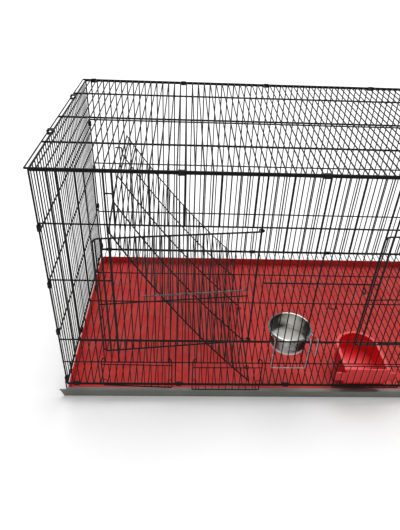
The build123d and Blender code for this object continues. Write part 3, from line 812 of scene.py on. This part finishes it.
@dataclass
class WireBox:
    """The fixed box of welded wire panels."""

    sizes: CageSizes
    coat: Material
    wire_radius: float = 1.25
    side_wire_radius: float = 1.15
    back_wire_radius: float = 1.65
    roof_wire_radius: float = 1.4
    bar_radius: float = 1.7
    far_bar_radius: float = 2.1
    rail_radius: float = 2.1
    post_radius: float = 1.9
    wire_lift: float = 0.9
    bar_lift: float = -0.6
    front_bar_lift: float = 0.4
    floor_wire_lift: float = 0.0
    floor_bar_lift: float = -1.5
    rail_lift: float = 0.1
    rail_sides: int = 10
    same_place: float = 0.1
    sway: float = 0.7
    short_sway: float = 0.4
    sill_sway: float = 0.3
    rail_sway: float = 0.3
    foot_sway: float = 0.2

    def build(self) -> None:
        """Make every fixed panel."""
        s = self.sizes
        half = s.compartment
        side_x = half - s.plate / 2
        back = Face((0, -s.mesh_y, s.floor_top), ALONG, UP, INWARD)
        roof = Face((0, 0, s.floor_top + s.height + s.plate / 2), ALONG, INWARD, UP)
        floor = Face((0, 0, s.floor_top - s.plate / 2), ALONG, INWARD, UP)
        length = (-half, half)
        rise = (0, s.height)
        depth = (-s.half_depth, s.half_depth)
        inner = (-s.half_depth + s.plate, s.half_depth - s.plate)
        wall_bars = (s.sill_bar, s.middle_bar, s.lintel_bar)
        far, stout = self.back_wire_radius, self.far_bar_radius
        self.panel("back_panel", back, length, rise, wall_bars, seed=2.0, wire=far, bar=stout)
        thin = self.side_wire_radius
        for name, out, seed in (("left", -1, 3.0), ("right", 1, 4.0)):
            wall = Face((out * side_x, 0, s.floor_top), INWARD, UP, (out, 0, 0))
            self.panel(f"{name}_side_panel", wall, inner, rise, s.side_bars, seed=seed, wire=thin)
        roof_bars = [d - s.half_depth for d in s.roof_bars]
        eaves = (-half - s.roof_overhang, half + s.roof_overhang)
        self.panel(
            "top_panel", roof, eaves, depth, roof_bars,
            seed=5.0, uprights=s.grid(*length)[1:-1], wire=self.roof_wire_radius, bar=stout,
        )
        floor_bars = [d - s.half_depth for d in s.floor_bars]
        lifts = (self.floor_wire_lift, self.floor_bar_lift)
        still = self.short_sway
        self.panel("floor_panel", floor, length, depth, floor_bars, seed=6.0, lifts=lifts, sway=still)
        self.front_wall()

    def panel(
        self,
        node: str,
        face: Face,
        u_range: Span,
        v_range: Span,
        bars: Sequence[float],
        seed: float,
        lifts: Span | None = None,
        sway: float | None = None,
        uprights: Sequence[float] | None = None,
        wire: float | None = None,
        bar: float | None = None,
    ) -> None:
        """Make one whole panel: a frame of rails, cross bars and wires.

        Args:
            node: The solid that the panel stands for.
            face: The side that it lies on.
            u_range: Its ends along the face.
            v_range: Its ends up the face.
            bars: Places of its cross bars.
            seed: Seed of its wires' sway.
            lifts: How far its wires and its bars stand out of the face, if not as usual.
            sway: How far its wires wander, if not as usual.
            uprights: Places of its wires, if they don't follow from its ends.
            wire: Radius of its wires, if it isn't the box's usual one.
            bar: Radius of its cross bars, if it isn't the box's usual one.
        """
        wire_lift, bar_lift = lifts or (self.wire_lift, self.bar_lift)
        inset = self.sizes.rail_inset
        run = (u_range[0] + inset, u_range[1] - inset)
        rise = (v_range[0] + inset, v_range[1] - inset)
        thickness = wire or self.wire_radius
        bundle = WireBundle(f"{node}_wires", seed=seed, sway=sway or self.sway)
        for u in uprights or self.sizes.grid(*u_range)[1:-1]:
            bundle.add(face.upright(u, rise, wire_lift), thickness)
        for v in bars:
            bundle.add(face.crossing(v, run, bar_lift), bar or self.bar_radius)
        for v in rise:
            bundle.add(face.crossing(v, run), self.rail_radius)
        for u in run:
            bundle.add(face.upright(u, rise), thickness)
        stand_for(bundle.build(self.coat), node, "cage")

    @property
    def front(self) -> Face:
        """The front side."""
        return Face((0, self.sizes.mesh_y, self.sizes.floor_top), ALONG, UP, (0, -1, 0))

    def front_wall(self) -> None:
        """Make the pieces of the front wall."""
        s = self.sizes
        half = s.compartment
        full = s.grid(-half, half)
        jambs = (-half + s.jamb, s.jamb, 0.0)
        posts = jambs + tuple(start + s.hinge for start in s.starts.values())
        upper = (s.lintel_bar, s.height - s.rail_inset)
        self.front_field(
            "front_upper_mesh", full, upper, (s.lintel_bar,),
            seed=7.0, sway=self.short_sway, posts=posts, rail=True,
        )
        fields = {
            "front_left_mesh": (-half, -half + s.jamb),
            "front_middle_mesh": (-half + s.field_start, s.jamb),
            "front_right_mesh": (s.field_start, half),
        }
        beside = (s.flap_bar, s.lintel_bar)
        bars = (s.sill_bar, s.middle_bar)
        for seed, (node, run) in enumerate(fields.items(), start=8):
            self.front_field(
                node, s.grid(*run), beside, bars, seed=float(seed), sway=self.sway, posts=jambs
            )
        sill = (s.flap_bar, s.sill_bar)
        for side, start in s.starts.items():
            run = (start + s.jamb, start + s.field_start)
            self.front_field(
                f"{side}_sill_mesh", s.grid(*run)[1:-1], sill, (s.sill_bar,),
                seed=11.0 + start, sway=self.sill_sway, run=run,
            )
        between = [u for u in full[1:-1] if min(abs(u - m) for m in s.flap_middles) > s.flap_width / 2]
        self.front_field(
            "front_foot_wires", (*between, *s.front_ends), (s.rail_inset, s.flap_bar), (),
            seed=13.0, sway=self.foot_sway, name="front_foot_wires_round",
        )
        rail = WireBundle("front_bottom_rail_round", sides=self.rail_sides, seed=14.0, sway=self.rail_sway)
        rail.add(self.front.crossing(s.rail_inset, s.front_ends, self.rail_lift), self.rail_radius)
        stand_for(rail.build(self.coat), "front_bottom_rail", "cage")

    def front_field(
        self,
        node: str,
        uprights: Sequence[float],
        span: Span,
        bars: Sequence[float],
        seed: float,
        sway: float,
        posts: Sequence[float] = (),
        run: Span | None = None,
        rail: bool = False,
        name: str | None = None,
    ) -> None:
        """Make one field of the front wall.

        Args:
            node: The solid that the field stands for.
            uprights: Places of its uprights.
            span: Its lower and upper ends.
            bars: Heights of its cross bars.
            seed: Seed of its wires' sway.
            sway: How far its wires wander.
            posts: Places where the upright is a thicker post.
            run: Ends of its cross bars, if they aren't its outer uprights.
            rail: Whether a rail closes its upper end.
            name: The piece's name, if it doesn't follow from the solid's.
        """
        face = self.front
        ends = self.sizes.front_ends
        bundle = WireBundle(name or f"{node}_wires", seed=seed, sway=sway)
        for u in uprights:
            end = min(ends, key=lambda place: abs(u - place))
            if abs(u - end) < self.sizes.pitch / 2:
                bundle.add(face.upright(end, span), self.post_radius)
            elif any(abs(u - post) < self.same_place for post in posts):
                bundle.add(face.upright(u, span), self.post_radius)
            else:
                bundle.add(face.upright(u, span, self.wire_lift), self.wire_radius)
        start, stop = run or (uprights[0], uprights[-1])
        across = (max(start, ends[0]), min(stop, ends[1]))
        for v in bars:
            bundle.add(face.crossing(v, across, self.front_bar_lift), self.bar_radius)
        if rail:
            bundle.add(face.crossing(span[1], ends), self.rail_radius)
        stand_for(bundle.build(self.coat), node, "cage")


def turns(degrees: float, count: int) -> list[float]:
    """Angles in radians from 0 to an angle in degrees, in so many steps."""
    return [math.radians(degrees * i / count) for i in range(count + 1)]


@dataclass
class Door:
    """One wire door left ajar on its hinge post."""

    sizes: CageSizes
    coat: Material
    side: str
    ajar: float
    width: float = 313.0
    bottom: float = 150.0
    top: float = 430.0
    middle: float = 278.0
    rod: float = 1.75
    rod_sides: int = 10
    corner: float = 10.0
    corner_steps: int = 8
    edge_gap: float = 5.0
    eye: float = 4.3
    eye_steps: int = 20
    wrap: float = 250.0
    wire: float = 1.2
    wire_inset: float = 0.6
    bar: float = 1.4
    bar_outset: float = 0.3
    bolt_height: float = 295.0
    bolt_standoff: float = 3.9
    guides: tuple[float, float] = (140.0, 215.0)
    guide_ring: float = 3.15
    guide_wire: float = 1.25
    guide_steps: int = 20

    def at(self, u: float, v: float, w: float) -> Point:
        """Place a point on the door.

        Args:
            u: Distance from the hinge towards the free edge.
            v: Height above the floor panel.
            w: Distance into the cage from the hinge's axis.

        Returns:
            The point.
        """
        a = math.radians(self.ajar)
        hinge_x = self.sizes.starts[self.side] + self.sizes.hinge
        x = hinge_x - u * math.cos(a) - w * math.sin(a)
        y = self.sizes.mesh_y - u * math.sin(a) + w * math.cos(a)
        return (x, y, self.sizes.floor_top + v)

    def upright(self, u: float, inset: float = 0.0) -> list[Point]:
        """Ends of a wire that runs up the door."""
        return [self.at(u, v, inset - self.eye) for v in (self.bottom, self.top)]

    def eye_points(self, height: float) -> list[Point]:
        """Points along one hinge eye, from where the rod leaves it to its end."""
        angles = turns(self.wrap, self.eye_steps)
        return [self.at(-self.eye * math.sin(t), height, -self.eye * math.cos(t)) for t in angles]

    def guide_points(self, u: float) -> list[Point]:
        """Points round one of the bolt's guide rings, without the first one again."""
        depth, r = -self.eye - self.bolt_standoff, self.guide_ring
        return [
            self.at(u, self.bolt_height + r * math.sin(t), depth + r * math.cos(t))
            for t in turns(360.0, self.guide_steps)[:-1]
        ]

    def build(self) -> None:
        """Make the door and let it stand for its solid."""
        name = f"{self.side}_door_wires"
        rods = WireBundle(name, WireKind.BENT, sides=self.rod_sides, bend_segments=self.corner_steps)
        path = list(reversed(self.eye_points(self.top)))
        path += reversed(self.upright(self.width))
        path += self.eye_points(self.bottom)
        rods.add(path, self.rod, self.corner)
        uprights = self.sizes.grid(0, self.width)[1:-1]
        for u in uprights:
            rods.add(self.upright(u, self.wire_inset), self.wire)
        rods.add(self.upright(self.width - self.edge_gap), self.bar)
        ends = (uprights[0] - self.wire, self.width)
        rods.add([self.at(u, self.middle, -self.eye - self.bar_outset) for u in ends], self.bar)
        for reach in self.guides:
            u = min(uprights, key=lambda place: abs(place - reach))
            rods.add(self.guide_points(u), self.guide_wire, closed=True)
        stand_for(rods.build(self.coat), f"{self.side}_door", f"{self.side}_door")


@dataclass
class FeedFlap:
    """One small flap that hangs from the flap bar, and may be pushed up a little on it."""

    sizes: CageSizes
    coat: Material
    name: str
    middle: float
    lift: Span
    top: float = 62.0
    bottom: float = -13.0
    top_gap: float = 3.2
    rod: float = 1.45
    rod_sides: int = 10
    corner: float = 4.0
    wire: float = 0.95
    wire_inset: float = 0.3
    bar: float = 1.2
    bar_outset: float = 0.2
    eye: float = 3.9
    eye_height: float = 11.0
    eye_slant: float = 1.1
    eye_steps: int = 18
    wrap: float = 230.0
    catch_width: float = 9.0
    catch_top: float = 20.0
    catch_outset: float = 0.4

    def build(self) -> None:
        """Make the flap and let it stand for its solid."""
        s = self.sizes
        y = s.mesh_y - self.eye
        ends = (self.middle - s.flap_width / 2, self.middle + s.flap_width / 2)
        bundle = WireBundle(f"{self.name}_wires", WireKind.BENT, sides=self.rod_sides)
        path = list(reversed(self.eye_points(ends[0])))
        path += [(x, y, self.height(x, self.bottom)) for x in ends]
        path += self.eye_points(ends[1])
        bundle.add(path, self.rod, self.corner)
        for x in s.grid(*ends)[1:-1]:
            upright = [(x, y + self.wire_inset, self.height(x, v)) for v in (self.bottom, self.top)]
            bundle.add(upright, self.wire)
        bundle.add([(x, y - self.bar_outset, self.height(x, self.top)) for x in ends], self.bar)
        peak = s.floor_top + self.catch_top
        for x in ends:
            inner = x + math.copysign(self.catch_width, self.middle - x)
            foot, inner_foot = (self.height(place, self.bottom) for place in (x, inner))
            arch = ((x, foot), (x, peak), (inner, peak), (inner, inner_foot))
            catch = [(place, y - self.catch_outset, z) for place, z in arch]
            bundle.add(catch, self.wire, self.catch_width / 2)
        stand_for(bundle.build(self.coat), self.name, self.name)

    def height(self, x: float, v: float) -> float:
        """Height of a point on the flap, which is pushed up at its ends, but not past the flap bar.

        Args:
            x: Its place along the bar.
            v: Its height above the floor panel when the flap hangs.

        Returns:
            Its height above the ground.
        """
        share = (x - self.middle) / self.sizes.flap_width + 0.5
        pushed = v + self.lift[0] * (1 - share) + self.lift[1] * share
        return self.sizes.floor_top + min(pushed, self.sizes.flap_bar - self.top_gap)

    def eye_points(self, x: float) -> list[Point]:
        """Points along one eye, a slanting open loop, from the side wire to its end.

        Args:
            x: The eye's place along the bar.

        Returns:
            The points.
        """
        axis_z = self.sizes.floor_top + self.sizes.flap_bar
        outward = math.copysign(self.eye_slant, x - self.middle)
        return [
            (
                x + outward * self.eye * (math.cos(t) - 1),
                self.sizes.mesh_y - self.eye * math.cos(t),
                axis_z + math.sin(t) * (self.eye_height if math.sin(t) > 0 else self.eye),
            )
            for t in turns(self.wrap, self.eye_steps)
        ]


@dataclass
class Divider:
    """The bowed and slightly twisted wire divider that leans on its foot."""

    sizes: CageSizes
    coat: Material
    foot_x: float = -112.0
    foot_z: float = 42.3
    lean: float = 51.2
    twist: float = 3.3
    warp: float = 0.75
    length: float = 512.0
    width: float = 556.0
    bow: float = 14.0
    ribs: int = 5
    rib_radius: float = 1.7
    rib_steps: int = 24
    rod_radius: float = 1.9
    wire_radius: float = 1.35
    wire_lift: float = 1.2
    wire_steps: int = 8
    hook_rise: float = 18.0
    hook_reach: float = 17.0
    hook_radius: float = 1.8
    hook_bend: float = 4.0

    def at(self, share: float, y: float, lift: float = 0.0) -> Point:
        """Place a point on the divider's curve.

        Args:
            share: How far along the curve, from foot to top.
            y: Distance across the divider.
            lift: Distance off the curve, on its upper side.

        Returns:
            The point.
        """
        radius = (self.length**2 / 4 + self.bow**2) / (2 * self.bow)
        half_sweep = math.asin(self.length / 2 / radius)
        turn = half_sweep * (2 * share - 1)
        u = self.length / 2 + (radius - lift) * math.sin(turn)
        v = radius - self.bow - (radius - lift) * math.cos(turn)
        forward = -2 * y / self.width
        a = math.radians(self.lean + self.twist / 2 * forward + self.warp * forward**2)
        x = self.foot_x - u * math.cos(a) + v * math.sin(a)
        z = self.foot_z + u * math.sin(a) + v * math.cos(a)
        return (x, y, z)

    def places(self, count: int) -> list[float]:
        """Evenly spaced places across the whole divider."""
        return [self.width * (i / (count - 1) - 0.5) for i in range(count)]

    def build(self) -> None:
        """Make the divider and let it stand for its solid."""
        bundle = WireBundle("divider_wires", WireKind.BENT)
        reach = self.width / 2 - self.rib_radius
        spots = [max(-reach, min(reach, y)) for y in self.places(self.ribs)]
        across = self.places(self.wire_steps + 1)
        for y in spots:
            bundle.add([self.at(i / self.rib_steps, y) for i in range(self.rib_steps + 1)], self.rib_radius)
        rows = round(self.length / self.sizes.pitch)
        for row in range(1, rows):
            bundle.add([self.at(row / rows, y, self.wire_lift) for y in across], self.wire_radius)
        for share in (0, 1):
            bundle.add([self.at(share, y) for y in across], self.rod_radius)
        for y in (spots[1], spots[-2]):
            x, _, z = self.at(1, y)
            peak = z + self.hook_rise
            path = [(x, y, z), (x, y, peak), (x - self.hook_reach, y, peak)]
            bundle.add(path, self.hook_radius, self.hook_bend)
        stand_for(bundle.build(self.coat), "divider_panel", "divider")


class Fittings:
    """Carried-over solids that keep their shape and get a finish."""

    coated = (
        "front_flap_bar", "left_hinge_post", "right_hinge_post", "latch_keepers", "front_hook", "leg_loops",
        "divider_foot_rings", "front_top_clips", "back_top_clips", "side_top_clips", "front_bottom_clips",
        "back_bottom_clips", "side_bottom_clips", "front_corner_clips", "back_corner_clips",
    )
    bolts = ("left_latch_bolt", "right_latch_bolt")

    def __init__(self, coat: Material) -> None:
        """Keep the coat of the small black pieces."""
        self.coat = coat

    def build(self) -> None:
        """Dress every carried-over solid."""
        dress(self.coated, self.coat)
        low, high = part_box("bowl")
        centre = ((low.x + high.x) / 2, (low.y + high.y) / 2)
        dress(["bowl"], SpunSteel("bowl_steel", centre=centre, base=low.z).material())
        dress(["bowl_holder"], PlatedWire("holder_plating").material())
        # The bolts get a darker plating
        dark_plating = PlatedWire("bolt_plating", bright=(0.09, 0.086, 0.084, 1.0), dull=(0.035, 0.034, 0.033, 1.0))
        dress(self.bolts, dark_plating.material())
        dress(["feeder_cup"], RedPlastic("feeder_red").material())
        dress(["tray_pan"], DullSheet("tray_sheet").material())
        liner = RedPlastic(
            "liner_red",
            light=(0.70, 0.028, 0.025, 1.0),
            dark=(0.58, 0.021, 0.018, 1.0),
            rough_low=0.5,
            rough_high=0.7,
            shine=0.25,
            patch_scale=3.0,
            grain_scale=700.0,
            relief_depth=0.1,
            dust_amount=0.25,
        )
        dress(["tray_liner"], liner.material())


@dataclass
class Studio:
    """Floor, light and camera, with places in metres and angles in degrees."""

    camera_place: Point = (-0.27682, -1.05515, 0.93378)
    pitch: float = 35.3133
    yaw: float = 2.6512
    roll: float = -2.4538
    focal_pixels: float = 480.096
    image_height: float = 530.0
    sensor: float = 36.0
    view_distance: float = 100.0
    floor_half: float = 30.0
    floor_drop: float = 0.0004
    floor_bounce: float = 0.815
    floor_shade: float = 1.0
    floor_glow: float = 0.05
    dome: float = 0.5
    sun: float = 2.5
    sun_height: float = 65.0
    sun_side: float = 62.0
    sun_spread: float = 60.0
    sun_distance: float = 3.0

    def build(self) -> None:
        """Set up everything round the cage."""
        bpy.context.scene.view_settings.view_transform = "Standard"
        self.floor()
        self.world()
        self.lights()
        self.camera()

    def floor(self) -> None:
        """Lay a plain white floor that keeps the cage's shadow."""
        mesh = bpy.data.meshes.new("studio_floor")
        h = self.floor_half
        mesh.from_pydata([(-h, -h, 0), (h, -h, 0), (h, h, 0), (-h, h, 0)], [], [(0, 1, 2, 3)])
        floor = bpy.data.objects.new("studio_floor", mesh)
        floor.location.z = -self.floor_drop
        bpy.context.scene.collection.objects.link(floor)
        material = bpy.data.materials.new("studio_white")
        graph = Graph.blank(material)
        bounce, shade = (
            graph.put("ShaderNodeBsdfDiffuse", {"Color": (tone, tone, tone, 1.0)}).outputs[0]
            for tone in (self.floor_bounce, self.floor_shade)
        )
        glow = graph.put("ShaderNodeEmission", {"Color": WHITE, "Strength": self.floor_glow}).outputs[0]
        bright = graph.put("ShaderNodeAddShader", {0: shade, 1: glow}).outputs[0]
        graph.put("ShaderNodeOutputMaterial", {"Surface": self.choice(graph, bounce, bright)})
        mesh.materials.append(material)

    @staticmethod
    def choice(graph: Graph, lighting: Socket, shown: Socket) -> Socket:
        """Choose between what lights the cage and what is seen, straight or by way of gloss or glass.

        Args:
            graph: The tree that needs the choice.
            lighting: The shader that lights the cage.
            shown: The shader that is seen.

        Returns:
            The chosen shader.
        """
        path = graph.put("ShaderNodeLightPath").outputs
        straight = graph.maths("MAXIMUM", path["Is Camera Ray"], path["Is Glossy Ray"])
        seen = graph.maths("MAXIMUM", straight, path["Is Transmission Ray"])
        return graph.put("ShaderNodeMixShader", {0: seen, 1: lighting, 2: shown}).outputs[0]

    def world(self) -> None:
        """Light the cage from all round, and show white behind it."""
        world = bpy.data.worlds.new("studio_air")
        bpy.context.scene.world = world
        graph = Graph.blank(world)
        dome, white = (
            graph.put("ShaderNodeBackground", {"Color": WHITE, "Strength": strength}).outputs[0]
            for strength in (self.dome, 1.0)
        )
        graph.put("ShaderNodeOutputWorld", {"Surface": self.choice(graph, dome, white)})

    def lights(self) -> None:
        """Light the cage softly from behind and above."""
        lamp = bpy.data.lights.new("soft_sky", "SUN")
        lamp.energy = self.sun
        lamp.angle = math.radians(self.sun_spread)
        holder = bpy.data.objects.new("soft_sky", lamp)
        side, height = math.radians(self.sun_side), math.radians(self.sun_height)
        level = math.cos(height)
        source = Vector((math.cos(side) * level, math.sin(side) * level, math.sin(height)))
        holder.rotation_euler = (-source).to_track_quat("-Z", "Y").to_euler()
        holder.location = source * self.sun_distance
        bpy.context.scene.collection.objects.link(holder)

    def camera(self) -> None:
        """Place the camera where the photograph was taken from."""
        pitch, yaw, roll = (math.radians(a) for a in (self.pitch, self.yaw, self.roll))
        ahead = Vector((math.sin(yaw), math.cos(yaw), 0.0))
        forward = ahead * math.cos(pitch) - Vector(UP) * math.sin(pitch)
        level = Vector((math.cos(yaw), -math.sin(yaw), 0.0))
        down = forward.cross(level)
        right = level * math.cos(roll) + down * math.sin(roll)
        below = down * math.cos(roll) - level * math.sin(roll)
        data = bpy.data.cameras.new("photo_camera")
        data.sensor_fit = "VERTICAL"
        data.sensor_height = self.sensor
        data.lens = self.focal_pixels * self.sensor / self.image_height
        data.clip_end = self.view_distance
        camera = bpy.data.objects.new("photo_camera", data)
        turn = Matrix((right, -below, -forward)).transposed().to_4x4()
        camera.matrix_world = Matrix.Translation(Vector(self.camera_place)) @ turn
        bpy.context.scene.collection.objects.link(camera)
        bpy.context.scene.camera = camera


def main() -> None:
    """Build the cage's pieces in order and dress them."""
    logging.basicConfig(level=logging.INFO, format="%(name)s: %(message)s")
    sizes = CageSizes()
    coat = PowderCoat("black_coat").material()
    Studio().build()
    WireBox(sizes, coat).build()
    for side, ajar in (("left", 6.5), ("right", 2.0)):
        Door(sizes, coat, side, ajar).build()
    lifts = {
        "left_outer_flap": (14.0, 6.0),
        "left_inner_flap": (0.0, 1.0),
        "right_inner_flap": (11.0, 11.0),
        "right_outer_flap": (11.0, 11.0),
    }
    for (name, lift), middle in zip(lifts.items(), sizes.flap_middles):
        FeedFlap(sizes, coat, name, middle, lift).build()
    Divider(sizes, coat).build()
    Fittings(coat).build()


if __name__ == "__main__":
    main()
